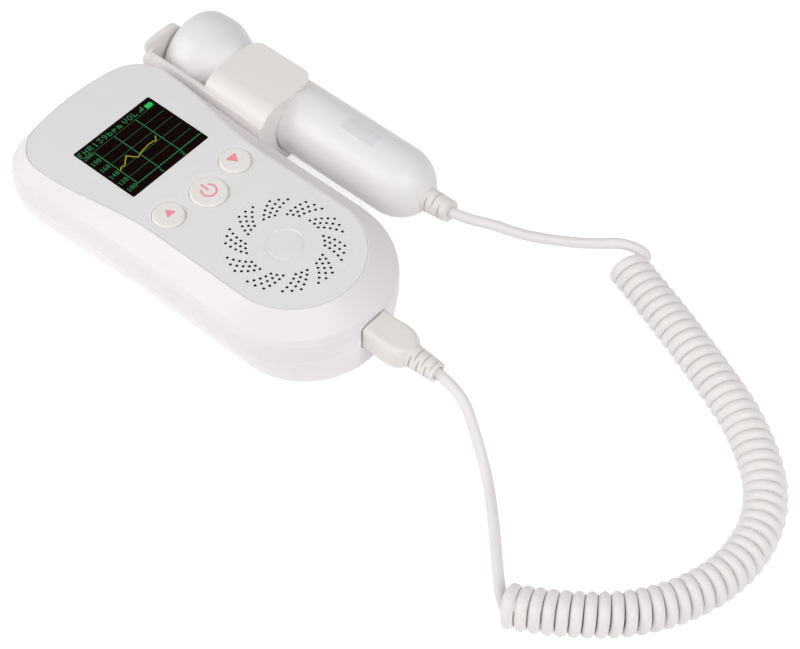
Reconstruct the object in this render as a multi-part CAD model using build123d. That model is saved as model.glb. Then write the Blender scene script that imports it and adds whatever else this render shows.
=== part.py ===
from build123d import *
import math
import os

# Hand-held fetal doppler monitor: hand unit, side holder with the probe in it, curly cord and plug.
# Frame: origin on the resting surface under the middle of the hand unit, +Y towards the screen end,
# +X towards the probe, +Z up. Millimetres.

# ---------------------------------------------------------------- hand unit
unit_length = 141.2
unit_height = 30.0
screen_end_width = 68.0
waist_width = 66.0
parting_height = 15.0
belt_height = 20.0
corner_radius = 15.0
end_radius = 100.0
flare_start = 1.0
wall = 2.2
lip_height = 1.2
lip_wall = 1.1
lip_fit = 0.1
seam_chamfer = 0.3

# Each level pulls the belt outline in: height, at the screen end's sides, at the waist, at the nose, at the
# end, and how much smaller the screen end's corners are.
lower_levels = [
    (0.0, 5.8, 6.9, 3.6, 2.8, 6.6),
    (0.5, 4.9, 5.9, 2.6, 1.9, 6.0),
    (1.6, 3.9, 4.8, 1.6, 1.2, 5.0),
    (4.0, 2.9, 3.7, 0.9, 0.7, 3.5),
    (9.0, 1.2, 1.6, 0.4, 0.3, 1.5),
    (parting_height - seam_chamfer, 0.0, 0.0, 0.0, 0.0, 0.0),
    (parting_height, seam_chamfer, seam_chamfer, seam_chamfer, seam_chamfer, seam_chamfer),
]
upper_levels = [
    (parting_height, seam_chamfer, seam_chamfer, seam_chamfer, seam_chamfer, seam_chamfer),
    (parting_height + seam_chamfer, 0.0, 0.0, 0.0, 0.0, 0.0),
    (belt_height, 0.0, 0.0, 0.0, 0.0, 0.0),
    (unit_height - 7.6, 0.2, 0.5, 0.3, 0.4, 0.0),
    (unit_height - 5.6, 0.7, 1.6, 1.8, 1.4, 0.1),
    (unit_height - 4.4, 1.4, 3.0, 3.8, 2.7, 0.3),
    (unit_height - 3.0, 2.2, 4.9, 6.1, 3.8, 0.5),
    (unit_height, 4.0, 8.6, 10.2, 5.2, 0.4),
]
cavity_top = [
    (parting_height, 0.0, 0.0, 0.0, 0.0, 0.0),
    (unit_height - 8.5, 0.4, 0.9, 1.0, 0.8, 0.0),
    (unit_height - 5.5, 1.4, 2.8, 3.6, 2.6, 0.3),
    (unit_height - 3.0, 3.2, 6.8, 8.2, 4.8, 0.8),
]
cavity_bottom = [
    (wall, 3.9, 4.6, 1.8, 1.8, 4.6),
    (4.5, 2.9, 3.7, 1.1, 1.0, 3.3),
    (9.0, 1.3, 1.7, 0.6, 0.5, 1.5),
    (parting_height, 0.0, 0.0, 0.0, 0.0, 0.0),
]

# ---------------------------------------------------------------- face plate, screen, grille
plate_thickness = 1.2
deck_thickness = 1.8
plate_rim = 0.4
plate_gap = 0.1
screen_share = 0.2231
screen_width = 35.0
screen_height = 28.0
screen_corner = 0.6
screen_gap = 0.1
screen_ledge = 1.4
grille_share = 0.2323
grille_rings = 6
grille_first = 12.65
grille_pitch = 1.58
grille_hole = 1.0
grille_dimple = 0.25
grille_clusters = 10
grille_arm_angle = 9.0
grille_start = 138.4
grille_twist = 4.44
eye_radius = 6.2
eye_groove = 1.4
eye_depth = 0.4
speaker_opening = 39.2

# ---------------------------------------------------------------- buttons
power_y = 0.7
power_diameter = 13.0
volume_x = 15.6
volume_y = 3.65
volume_diameter = 11.0
dish_ratio = 1.34
dish_depth = 0.45
button_gap = 0.15
button_proud = 1.2
button_edge = 0.9
button_travel = 0.5
flange_width = 1.2
flange_thickness = 0.8
flange_drop = 0.2
stem_diameter = 4.0
switch_size = 6.0
switch_body = 2.4
plunger_diameter = 3.0
plunger_height = 0.6
stem_clearance = 0.15

# ---------------------------------------------------------------- inside the hand unit
lcd_width = 41.0
lcd_height = 35.0
lcd_thickness = 2.8
board_width = 39.0
board_front = -11.0
board_back_inset = 7.6
board_thickness = 1.6
board_clearance = 0.3
board_boss = 5.0
board_boss_side = 2.0
board_boss_edge = 4.0
board_hole = 2.1
board_screw_diameter = 1.8
board_screw_length = 5.0
board_screw_head = 3.6
board_screw_head_height = 1.0
chip_size = 9.0
chip_thickness = 1.0
speaker_diameter = 40.0
speaker_depth = 8.0
speaker_rim = 1.2
speaker_floor = 0.8
speaker_flange = 2.4
speaker_seat = 1.4
cone_thickness = 0.5
magnet_diameter = 22.0
magnet_depth = 3.2
gasket_thickness = 1.0
boss_diameter = 7.0
boss_x = 24.0
boss_inset_screen = 15.6
boss_x_nose = 22.2
boss_inset_nose = 25.6
screw_diameter = 2.6
screw_head = 4.6
screw_head_height = 1.6
screw_seat = 8.0
screw_fit = 0.1
screw_length = 14.0
counterbore = 5.0
pilot_depth = 8.0

# ---------------------------------------------------------------- batteries and their cover
cell_diameter = 14.2
cell_length = 50.5
cell_nub = 1.0
cell_nub_diameter = 5.2
cell_gap = 0.6
cell_side_gap = 0.9
spring_room = 6.3
bay_wall = 1.6
bay_roof = 1.2
bay_lip = 1.7
cover_thickness = 1.6
cover_recess = 0.3
cover_gap = 0.3
cover_inset = 11.6
cover_seat = 0.1
cover_ledge = 1.4
tab_width = 2.8
tab_x = 13.6
tab_reach = 1.2
tab_lift = 0.4
tab_thickness = 0.5
latch_width = 8.0
latch_height = 3.0
latch_thickness = 1.0
grip_width = 12.0
grip_pitch = 2.0
grip_groove = 0.8
grip_depth = 0.4
contact_thickness = 0.4
contact_size = 10.0
spring_wire = 0.6
spring_turns = 3
spring_radius = 3.0

# ---------------------------------------------------------------- probe and holder
probe_side = 19.6
probe_z = 16.8
handle_diameter = 24.9
head_diameter = 31.9
face_diameter = 21.0
head_front = 61.9
head_bulge = 51.5
head_neck = 38.5
head_joint = 24.0
tail_start = -34.5
tail_end = -47.5
probe_wall = 1.8
probe_fit = 0.05
spigot_length = 6.0
spigot_wall = 1.2
lens_diameter = 18.6
lens_thickness = 1.5
crystal_thickness = 1.0
crystal_diameter = 16.0
crystal_gap = 0.6
backing_length = 8.0
probe_board_length = 30.0
probe_board_width = 18.0
probe_board_thickness = 1.2
probe_board_y = -4.0
board_rail = 3.2
relief_diameter = 8.8
relief_length = 10.0
relief_end_diameter = 7.7
relief_tilt = 6.0
relief_rings = 3
relief_stub = 5.0
relief_slot = 0.7
relief_slot_depth = 0.6
relief_bridge = 4.4
clip_near = 9.1
clip_far = 36.4
clip_clearance = 0.3
clip_arm = 1.6
clip_mouth = 7.8
clip_corner = 8.0
clip_low_corner = 4.0
clip_edge = 0.8
clip_tip_corner = 5.5
holder_depth = 6.0
rail_width = 2.8
rail_top = 26.3
rail_bottom = 5.0
rail_edge = 1.2
crease_bottom = 21.5
crease_gap = 0.1
crease_opening = 0.8
holder_screw_y = (22.0, 46.0)
holder_screw_z = 10.0
holder_pad = 6.5
holder_pad_depth = 4.2
holder_screw_grip = 1.8
tab_gap = 1.2
end_tab = 2.2
end_tab_bottom = 4.0
end_tab_top = 29.6
end_tab_length = 18.0
end_tab_corner = 6.0
end_tab_bend = 11.0

# ---------------------------------------------------------------- plug and cord
cord_diameter = 3.7
coil_diameter = 14.0
plug_z = 18.0
plug_width = 11.2
plug_height = 10.0
plug_corner = 1.6
plug_length = 15.7
plug_gap = 0.7
plug_recess = 1.0
plug_recess_corner = 1.9
plug_clearance = 0.4
plug_shell_width = 7.2
plug_shell_height = 3.6
plug_shell_depth = 5.5
plug_shell_wall = 0.5
plug_shell_corner = 0.8
plug_shell_seat = 2.0
plug_travel = 5.6
socket_fit = 0.2
socket_wall = 0.5
socket_depth = 9.0
socket_block = 3.0
socket_block_width = 16.0
socket_block_height = 14.0
tongue_width = 4.6
tongue_height = 1.1
tongue_back = 1.0
plug_relief_diameter = 8.1
plug_relief_length = 10.5
plug_relief_end_diameter = 6.9
plug_relief_rings = 6
cord_bore = 4.4

face_z = unit_height
deck_top = unit_height - plate_thickness
deck_bottom = deck_top - deck_thickness
nose_y = -unit_length / 2
end_y = unit_length / 2
unit_side = screen_end_width / 2
screen_y = screen_share * unit_length
grille_y = -grille_share * unit_length
belt = (belt_height, 0.0, 0.0, 0.0, 0.0, 0.0)
face_level = upper_levels[-1]

cover_length = cell_length + spring_room + 2 * contact_thickness + cover_ledge - cover_gap - bay_lip
cover_width = 2 * (cell_diameter + cell_side_gap + cover_ledge - cover_gap) + cell_gap
cover_far = end_y - cover_inset
cover_near = cover_far - cover_length
cover_top = cover_recess + cover_thickness
cell_z = cover_top + cover_gap + cell_diameter / 2
cell_x = (cell_diameter + cell_gap) / 2
bay_near = cover_near - cover_gap - bay_lip
bay_far = cover_far - cover_ledge
bay_half = cover_width / 2 + cover_gap - cover_ledge
bay_top = cell_z + cell_diameter / 2 + cover_gap
hinge_y = cover_near + cover_thickness / 2
hinge_z = cover_recess + cover_thickness / 2

board_top = bay_top + bay_roof + board_clearance + chip_thickness + board_thickness
board_back = end_y - board_back_inset
board_boss_x = board_width / 2 - board_boss_side
board_boss_near = board_front + board_boss_edge
board_boss_far = board_back - board_boss_edge
boss_y_screen = end_y - boss_inset_screen
boss_y_nose = nose_y + boss_inset_nose
board_bosses = [
    (side * board_boss_x, y) for side in (-1, 1) for y in (board_boss_near, board_boss_far)
]
housing_bosses = [(side * boss_x, boss_y_screen) for side in (-1, 1)]
housing_bosses += [(side * boss_x_nose, boss_y_nose) for side in (-1, 1)]
buttons = {
    "power_button": ((0.0, power_y), power_diameter),
    "volume_up_button": ((-volume_x, volume_y), volume_diameter),
    "volume_down_button": ((volume_x, volume_y), volume_diameter),
}

probe_x = unit_side + probe_side
rail_x = unit_side + rail_width
holder_root = unit_side - holder_depth
holder_pad_x = min(screen_end_width, waist_width) / 2 - holder_pad_depth
holder_screw_end = max(screen_end_width, waist_width) / 2 + holder_screw_grip
handle_radius = handle_diameter / 2
clip_reach = probe_x + clip_mouth
clip_bore = handle_radius + clip_clearance
clip_top = probe_z + clip_bore + clip_arm
clip_bottom = probe_z - clip_bore - clip_arm
end_tab_near = head_front + tab_gap
end_tab_far = end_tab_near + end_tab
end_tab_reach = unit_side + end_tab_length
tilt = math.radians(relief_tilt)
relief_end = tail_end - relief_length * math.cos(tilt)
relief_end_z = probe_z + relief_length * math.sin(tilt)
socket_front = nose_y + plug_recess
plug_front = socket_front - plug_gap
plug_back = plug_front - plug_length
plug_relief_end = plug_back - plug_relief_length


def outline(level, inset=0.0, height=None):
    """Plan outline of the hand unit at one level, pulled in further by inset."""
    z, side_in, waist_in, nose_in, end_in, corner_in = level
    side = screen_end_width / 2 - side_in - inset
    waist = waist_width / 2 - waist_in - inset
    nose = nose_y + nose_in + inset + waist
    end = unit_length / 2 - end_in - inset
    corner = corner_radius - corner_in - inset
    sweep = end_radius - end_in - inset
    corner_x = side - corner
    corner_y = end - sweep + math.sqrt((sweep - corner) ** 2 - corner_x**2)
    stretch = sweep / (sweep - corner)
    join = (corner_x * stretch, end - sweep + (corner_y - end + sweep) * stretch)
    half_turn = math.atan2(join[1] - corner_y, join[0] - corner_x) / 2
    middle = (corner_x + corner * math.cos(half_turn), corner_y + corner * math.sin(half_turn))
    edges = [ThreePointArc((-waist, nose), (0, nose - waist), (waist, nose))]
    edges.append(ThreePointArc(join, (0, end), (-join[0], join[1])))
    for s in (1, -1):
        edges.append(Line((s * waist, nose), (s * waist, flare_start)))
        flare = ((s * waist, flare_start), (s * side, corner_y))
        edges.append(Spline(flare, tangents=[(0, 1), (0, 1)]))
        edges.append(ThreePointArc(flare[1], (s * middle[0], middle[1]), (s * join[0], join[1])))
    top = z if height is None else height
    return Pos(0, 0, top) * make_face(edges)


def stack(levels, inset=0.0):
    """Solid through the outlines at the given levels."""
    return loft([outline(level, inset) for level in levels], ruled=True)


def slab(inset, low, high, level=belt):
    """Flat slab with the unit's outline between two heights."""
    return extrude(outline(level, inset, low), high - low)


def block(x, y, z):
    """Box from its two bounds along each axis."""
    middle = [(a + b) / 2 for a, b in (x, y, z)]
    return Pos(*middle) * Box(x[1] - x[0], y[1] - y[0], z[1] - z[0])


def post(radius, low, high, place):
    """Upright cylinder between two heights."""
    align = (Align.CENTER, Align.CENTER, Align.MIN)
    return Pos(place[0], place[1], low) * Cylinder(radius, high - low, align=align)


def along_y(profile, near, far):
    """Profile drawn in X and Z, pulled along Y."""
    return extrude(Plane.XZ.offset(-far) * profile, far - near)


def along_x(radius, start, end, y, z):
    """Round bar lying along X."""
    return Pos((start + end) / 2, y, z) * Rot(Y=90) * Cylinder(radius, end - start)


def at_probe(shape):
    """Moves a shape made about the Y axis to the probe's axis."""
    return Pos(probe_x, 0, probe_z) * shape


def probe_disc(diameter, near, far):
    """Round slice of the probe, on its axis."""
    return at_probe(along_y(Circle(diameter / 2), near, far))


# ---------------------------------------------------------------- housings
def whole_unit():
    """Outside of the closed unit, without the seam groove."""
    return stack(lower_levels[:-1] + upper_levels[1:])


def plug_pocket():
    """Recess in the nose that the plug enters."""
    width = plug_width + 2 * plug_clearance
    height = plug_height + 2 * plug_clearance
    profile = Pos(0, plug_z) * RectangleRounded(width, height, plug_recess_corner)
    return along_y(profile, nose_y - 1, socket_front)


def socket_wall_block(low, high, grow=0.0):
    """Wall behind the plug recess, between two heights."""
    half = socket_block_width / 2 + grow
    return block((-half, half), (nose_y, socket_front + socket_block + grow), (low, high))


def socket_profile(grow=0.0):
    """Mouth of the socket round the plug's metal shell."""
    width = plug_shell_width + 2 * (socket_fit + grow)
    height = plug_shell_height + 2 * (socket_fit + grow)
    return Pos(0, plug_z) * RectangleRounded(width, height, plug_shell_corner + socket_fit + grow)


def lower_housing():
    outside = stack(lower_levels)
    shell = outside - stack(cavity_bottom, wall)
    top = parting_height + lip_height
    lip = slab(lip_wall + lip_fit, parting_height, top) - slab(wall, parting_height - 1, top + 1)
    shell += lip - socket_wall_block(parting_height, top, lip_fit)
    low_block = plug_z - socket_block_height / 2
    inner = socket_wall_block(low_block, parting_height)
    inner += bay_box()
    for place in housing_bosses:
        inner += post(boss_diameter / 2, 0, parting_height, place)
    for y in holder_screw_y:
        inner += along_x(holder_pad / 2, holder_pad_x, unit_side, y, holder_screw_z)
    shell += inner & (outside + slab(wall, parting_height, bay_top + bay_roof))
    for place in housing_bosses:
        shell -= post(counterbore / 2, -1, screw_seat, place)
        shell -= post(screw_diameter / 2 + screw_fit, 0, top, place)
    for y in holder_screw_y:
        hole = screw_diameter / 2 + screw_fit
        shell -= along_x(hole, holder_pad_x - 1, rail_x, y, holder_screw_z)
    return shell - bay_room() - plug_pocket()


def bay_box():
    """Walls and roof of the battery bay, still solid."""
    half = bay_half + bay_wall
    return block((-half, half), (bay_near - bay_wall, bay_far + bay_wall), (0, bay_top + bay_roof))


def bay_room():
    """Room for the cells, the cover, its tabs and its latch."""
    half = cover_width / 2 + cover_gap
    near, far = cover_near - cover_gap, cover_far + cover_gap
    room = block((-bay_half, bay_half), (bay_near, bay_far), (wall, bay_top))
    room += block((-bay_half, bay_half), (near, bay_far), (-1, wall + 1))
    room += block((-half, half), (near, far), (-1, cover_top + cover_seat))
    latch = latch_width / 2 + cover_gap
    latch_top = cover_top + latch_height + cover_gap
    return room + block((-latch, latch), (bay_far - 1, far), (0, latch_top))


def upper_housing():
    outside = stack(upper_levels)
    shell = outside - stack(cavity_top, wall)
    shell -= slab(lip_wall, parting_height, parting_height + lip_height + lip_fit)
    inner = socket_wall_block(parting_height, plug_z + socket_block_height / 2)
    for place in housing_bosses:
        inner += post(boss_diameter / 2, parting_height, deck_bottom + 0.5, place)
    for place in board_bosses:
        inner += post(board_boss / 2, board_top, deck_bottom + 0.5, place)
    shell += inner & outside
    for place in housing_bosses:
        shell -= post(screw_diameter / 2 + screw_fit, parting_height, parting_height + pilot_depth, place)
    for place in board_bosses:
        pilot = board_screw_diameter / 2 + screw_fit
        shell -= post(pilot, board_top, board_top + board_screw_length, place)
    shell -= slab(plate_rim, deck_top, face_z + 1, face_level)
    shell -= Pos(0, screen_y, deck_bottom) * window(-screen_ledge)
    shell -= post(speaker_opening / 2, deck_bottom - 1, face_z, (0, grille_y))
    for place, diameter in buttons.values():
        shell -= post(diameter / 2 + button_gap, deck_bottom - 1, face_z, place)
    socket = along_y(socket_profile(socket_wall), socket_front - 1, socket_front + socket_depth)
    return shell - socket - plug_pocket()


def window(grow):
    """Screen-shaped block, as high as the face plate and the deck."""
    width, height = screen_width + 2 * grow, screen_height + 2 * grow
    profile = RectangleRounded(width, height, max(screen_corner, screen_corner + grow))
    return extrude(profile, plate_thickness + deck_thickness + 1)


# ---------------------------------------------------------------- face plate and screen
def grille_holes():
    """Curved arms of small holes, three side by side in each ring; the last ring is only dimples."""
    holes = []
    for ring in range(grille_rings):
        radius = grille_first + ring * grille_pitch
        bottom = face_z - grille_dimple if ring == grille_rings - 1 else deck_top - 1
        for cluster in range(grille_clusters):
            for arm in (-1, 0, 1):
                turn = cluster * 360 / grille_clusters + arm * grille_arm_angle
                angle = math.radians(grille_start + turn - ring * grille_twist)
                place = (radius * math.cos(angle), grille_y + radius * math.sin(angle))
                holes.append(post(grille_hole / 2, bottom, face_z + 1, place))
    return holes


def face_plate():
    plate = slab(plate_rim + plate_gap, deck_top, face_z, face_level)
    plate -= Pos(0, screen_y, deck_top - 1) * window(screen_gap)
    for place, diameter in buttons.values():
        plate -= post(diameter / 2 + button_gap, deck_top - 1, face_z + 1, place)
        half = dish_ratio * diameter / 2
        ball = (half**2 + dish_depth**2) / (2 * dish_depth)
        plate -= Pos(place[0], place[1], face_z + ball - dish_depth) * Sphere(ball)
    eye = (0, grille_y)
    groove = post(eye_radius + eye_groove / 2, face_z - eye_depth, face_z + 1, eye)
    plate -= groove - post(eye_radius - eye_groove / 2, face_z - eye_depth, face_z + 1, eye)
    return plate - grille_holes()


def screen_lens():
    profile = RectangleRounded(screen_width, screen_height, screen_corner)
    return Pos(0, screen_y, deck_top) * extrude(profile, plate_thickness)


def lcd_module():
    x = (-lcd_width / 2, lcd_width / 2)
    y = (screen_y - lcd_height / 2, screen_y + lcd_height / 2)
    return block(x, y, (deck_bottom - lcd_thickness, deck_bottom))


# ---------------------------------------------------------------- buttons and board
def button(place, diameter):
    """Cap with a retaining flange under the deck and a stem over the switch."""
    flange_top = deck_bottom - flange_drop
    flange_bottom = flange_top - flange_thickness
    stem_bottom = board_top + switch_body + plunger_height + button_travel + stem_clearance
    cap = post(diameter / 2, flange_bottom, face_z - dish_depth + button_proud, place)
    cap = fillet(cap.edges().sort_by(Axis.Z)[-1], button_edge)
    cap += post(diameter / 2 + flange_width, flange_bottom, flange_top, place)
    return cap + post(stem_diameter / 2, stem_bottom, flange_bottom, place)


def tactile_switches():
    switches = []
    for x, y in [place for place, diameter in buttons.values()]:
        half = switch_size / 2
        top = board_top + switch_body
        switch = block((x - half, x + half), (y - half, y + half), (board_top, top))
        switches.append(switch + post(plunger_diameter / 2, top, top + plunger_height, (x, y)))
    return Part() + switches


def main_board():
    x = (-board_width / 2, board_width / 2)
    board = block(x, (board_front, board_back), (board_top - board_thickness, board_top))
    return board - [post(board_hole / 2, 0, face_z, place) for place in board_bosses]


def board_chips():
    """Controller and audio amplifier under the board."""
    half = chip_size / 2
    bottom = board_top - board_thickness
    z = (bottom - chip_thickness, bottom)
    return Part() + [block((-half, half), (y - half, y + half), z) for y in (power_y, screen_y)]


def screw(diameter, length, head, head_height, place, seat):
    """Pan-head screw driven upwards, with its head under the seat."""
    shank = post(diameter / 2, seat, seat + length, place)
    return shank + post(head / 2, seat - head_height, seat, place)


def housing_screws():
    sizes = (screw_diameter, screw_length, screw_head, screw_head_height)
    return Part() + [screw(*sizes, place, screw_seat) for place in housing_bosses]


def board_screws():
    sizes = (board_screw_diameter, board_screw_length, board_screw_head, board_screw_head_height)
    seat = board_top - board_thickness
    return Part() + [screw(*sizes, place, seat) for place in board_bosses]


def holder_screws():
    """Screws from inside the lower housing into the holder."""
    screws = []
    for y in holder_screw_y:
        shank = along_x(screw_diameter / 2, holder_pad_x, holder_screw_end, y, holder_screw_z)
        head_x = holder_pad_x - screw_head_height
        screws.append(shank + along_x(screw_head / 2, head_x, holder_pad_x, y, holder_screw_z))
    return Part() + screws


# ---------------------------------------------------------------- loudspeaker
def speaker_ring(points):
    """Turned part of the loudspeaker from its half profile of radius and height."""
    profile = make_face(Polyline(*points, close=True))
    return Pos(0, grille_y, 0) * revolve(Plane.XZ * profile, axis=Axis.Z)


speaker_top = deck_bottom - gasket_thickness
speaker_bottom = speaker_top - speaker_depth
magnet_top = speaker_bottom + magnet_depth
speaker_radius = speaker_diameter / 2
speaker_mouth = speaker_radius - speaker_flange


def speaker_frame():
    floor = magnet_top + speaker_floor
    flange = speaker_top - speaker_rim
    inner = magnet_diameter / 2
    outer = [(0, magnet_top), (inner + speaker_floor, magnet_top), (speaker_mouth + speaker_floor, flange)]
    outer += [(speaker_radius, flange), (speaker_radius, speaker_top), (speaker_mouth, speaker_top)]
    return speaker_ring(outer + [(speaker_mouth, flange), (inner, floor), (0, floor)])


def speaker_cone():
    """Paper cone with its dust cap, hung in the frame's mouth."""
    rim = speaker_mouth
    cap = speaker_mouth / 3
    low = magnet_top + 2 * speaker_floor
    high = speaker_top - cone_thickness
    points = [(0, low + cap / 4), (cap, low), (rim - 1, high), (rim, high), (rim, speaker_top)]
    points += [(rim - 1, speaker_top), (cap, low + cone_thickness), (0, low + cone_thickness + cap / 4)]
    return speaker_ring(points)


def speaker_magnet():
    return post(magnet_diameter / 2, speaker_bottom, magnet_top, (0, grille_y))


def speaker_gasket():
    ring = post(speaker_opening / 2 + speaker_seat, speaker_top, deck_bottom, (0, grille_y))
    return ring - post(speaker_mouth, speaker_top, deck_bottom, (0, grille_y))


# ---------------------------------------------------------------- socket and plug
def probe_socket_shell():
    back = socket_front + socket_depth
    body = along_y(socket_profile(socket_wall), socket_front, back)
    return body - along_y(socket_profile(), socket_front, back - socket_wall)


def probe_socket_tongue():
    profile = Pos(0, plug_z) * Rectangle(tongue_width, tongue_height)
    return along_y(profile, socket_front + tongue_back, socket_front + socket_depth - socket_wall)


def shell_profile(shrink=0.0):
    width, height = plug_shell_width - 2 * shrink, plug_shell_height - 2 * shrink
    return Pos(0, plug_z) * RectangleRounded(width, height, plug_shell_corner - shrink)


def plug_shell():
    ring = shell_profile() - shell_profile(plug_shell_wall)
    return along_y(ring, plug_front - plug_shell_seat, socket_front + plug_shell_depth)


def plug_overmould():
    """Moulded grip: straight at the unit, bellied near the cord, rounded down to the relief."""
    neck = plug_relief_diameter + 0.2
    stations = [(0.0, 0.0, 0.0), (0.2, 0.0, 0.0), (0.56, 0.9, 0.2), (0.82, 0.2, -0.3), (0.95, -1.8, -1.2)]
    sections = []
    for share, wider, higher in stations:
        width, height = plug_width + wider, plug_height + higher
        corner = plug_corner + 1.6 * share**2
        profile = Pos(0, plug_z) * RectangleRounded(width, height, corner)
        sections.append(Plane.XZ.offset(share * plug_length - plug_front) * profile)
    end = Pos(0, plug_z) * RectangleRounded(neck, neck, neck / 2 - 0.1)
    sections.append(Plane.XZ.offset(-plug_back) * end)
    grip = loft(sections)
    return grip - along_y(shell_profile(), plug_front - plug_shell_seat, plug_front + 1)


def ribbed_sleeve(start, end, start_diameter, end_diameter, bore, rings):
    """Tapered sleeve along Y about the Y axis, with pairs of slots that turn from ring to ring."""
    points = [(bore / 2, start), (start_diameter / 2, start), (end_diameter / 2, end), (bore / 2, end)]
    sleeve = revolve(make_face(Polyline(*points, close=True)), axis=Axis.Y)
    pitch = (start - end) / (rings + 1)
    for k in range(rings):
        y = start - (k + 1) * pitch
        ring = Circle(start_diameter) - Circle(end_diameter / 2 - relief_slot_depth)
        wide, high = (start_diameter, relief_bridge) if k % 2 else (relief_bridge, start_diameter)
        ring -= Rectangle(wide, high)
        sleeve -= along_y(ring, y - relief_slot / 2, y + relief_slot / 2)
    return sleeve


def plug_strain_relief():
    sizes = (plug_relief_diameter, plug_relief_end_diameter, cord_bore, plug_relief_rings)
    return Pos(0, 0, plug_z) * ribbed_sleeve(plug_back, plug_relief_end, *sizes)


# ---------------------------------------------------------------- batteries and cover
def batteries():
    cells = []
    for side in (-1, 1):
        flip = -side
        body = along_y(Circle(cell_diameter / 2), 0, cell_length - cell_nub)
        body += along_y(Circle(cell_nub_diameter / 2), cell_length - cell_nub, cell_length)
        tip = bay_far - contact_thickness if flip > 0 else bay_near + contact_thickness
        turned = body if flip > 0 else Rot(Z=180) * body
        cells.append(Pos(side * cell_x, tip - flip * cell_length, cell_z) * turned)
    return Part() + cells


def battery_contacts():
    """One bridge at the hinge end and two single plates at the latch end."""
    half = contact_size / 2
    z = (cell_z - half, cell_z + half)
    plates = [block((-cell_x - half, cell_x + half), (bay_near, bay_near + contact_thickness), z)]
    for side in (-1, 1):
        x = (side * cell_x - half, side * cell_x + half)
        plates.append(block(x, (bay_far - contact_thickness, bay_far), z))
    return Part() + plates


def battery_springs():
    """Coil springs at the flat end of each cell."""
    room = bay_far - bay_near - 2 * contact_thickness - cell_length
    height = room - spring_wire
    helix = Helix(pitch=height / spring_turns, height=height, radius=spring_radius)
    coil = sweep(Plane(origin=helix @ 0, z_dir=helix % 0) * Circle(spring_wire / 2), path=helix)
    springs = []
    for side in (-1, 1):
        near = bay_near if side < 0 else bay_far - 2 * contact_thickness - room
        y = near + contact_thickness + spring_wire / 2
        springs.append(Pos(side * cell_x, y, cell_z) * Rot(X=-90) * coil)
    return Part() + springs


def battery_cover():
    half = cover_width / 2
    cover = block((-half, half), (hinge_y, cover_far), (cover_recess, cover_top))
    cover += along_x(cover_thickness / 2, -half, half, hinge_y, hinge_z)
    for side in (-1, 1):
        x = (side * tab_x - tab_width / 2, side * tab_x + tab_width / 2)
        top = wall + tab_lift + tab_thickness
        cover += block(x, (cover_near, hinge_y + cover_thickness / 2), (hinge_z, top))
        cover += block(x, (cover_near - tab_reach, cover_near), (wall + tab_lift - 0.3, top))
    latch = (-latch_width / 2, latch_width / 2)
    far = cover_far - 0.2
    cover += block(latch, (far - latch_thickness, far), (cover_recess, cover_top + latch_height))
    grip = (-grip_width / 2, grip_width / 2)
    for k in range(3):
        y = cover_far - (k + 2) * grip_pitch
        cover -= block(grip, (y - grip_groove / 2, y + grip_groove / 2), (0, cover_recess + grip_depth))
    return cover


# ---------------------------------------------------------------- probe holder
def clip_profile():
    """C shape open towards +X, its arms parallel past the handle's middle."""
    outer = Pos((unit_side + clip_reach) / 2, (clip_top + clip_bottom) / 2)
    outer *= Rectangle(clip_reach - unit_side, clip_top - clip_bottom)
    outer = fillet(min(outer.vertices(), key=lambda v: v.X - v.Y), clip_corner)
    outer = fillet(min(outer.vertices(), key=lambda v: v.X + v.Y), clip_low_corner)
    outer = fillet(max(outer.vertices(), key=lambda v: v.X + v.Y), clip_edge)
    outer = fillet(max(outer.vertices(), key=lambda v: v.X - v.Y), clip_edge)
    mouth = Pos(probe_x + clip_bore, probe_z) * Rectangle(2 * clip_bore, 2 * clip_bore)
    return outer - Pos(probe_x, probe_z) * Circle(clip_bore) - mouth


def clip():
    """Clip round the handle, its arms' tips rounded in plan."""
    plan = Pos((unit_side + clip_reach) / 2, (clip_near + clip_far) / 2, clip_bottom)
    plan *= Rectangle(clip_reach - unit_side, clip_far - clip_near)
    plan = fillet(plan.vertices().sort_by(Axis.X)[-2:], clip_tip_corner)
    return along_y(clip_profile(), clip_near, clip_far) & extrude(plan, clip_top - clip_bottom)


def end_tab_plate():
    """Plate across the probe's face, its free corners rounded."""
    middle = ((unit_side + end_tab_reach) / 2, (end_tab_bottom + end_tab_top) / 2)
    tab = Pos(*middle) * Rectangle(end_tab_reach - unit_side, end_tab_top - end_tab_bottom)
    tab = fillet(tab.vertices().sort_by(Axis.X)[-2:], end_tab_corner)
    return along_y(tab, end_tab_near, end_tab_far)


def rail_bend():
    """Curved wall that turns the rail into the end tab, and what is cut off outside it."""
    x, y = rail_x + end_tab, end_tab_far - end_tab_bend
    quarter = block((holder_root - 1, x), (y, end_tab_far + 1), (-1, end_tab_top + 1))
    wall_ring = post(end_tab_bend, rail_bottom, rail_top, (x, y))
    wall_ring -= post(end_tab_bend - end_tab, rail_bottom, rail_top, (x, y))
    return wall_ring & quarter, quarter - post(end_tab_bend, -1, end_tab_top + 1, (x, y))


def holder_crease():
    """Open groove between the unit's shoulder and the holder."""
    return stack([(crease_bottom, *[-crease_gap] * 5), (unit_height, *[-crease_opening] * 5)])


def probe_holder():
    holder = clip() + end_tab_plate()
    holder += block((holder_root, unit_side + 2), (clip_near, clip_far), (rail_bottom, rail_top))
    rail = block((holder_root, rail_x), (clip_far, end_tab_far), (rail_bottom, rail_top))
    edge = rail.edges().filter_by(Axis.Y).sort_by(lambda e: e.center().X + e.center().Z)[-1]
    holder += fillet(edge, rail_edge)
    bend, corner = rail_bend()
    holder += bend
    holder -= corner
    holder -= whole_unit()
    holder -= holder_crease()
    for y in holder_screw_y:
        end = holder_screw_end + screw_fit
        holder -= along_x(screw_diameter / 2 + screw_fit, holder_root, end, y, holder_screw_z)
    return holder


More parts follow.
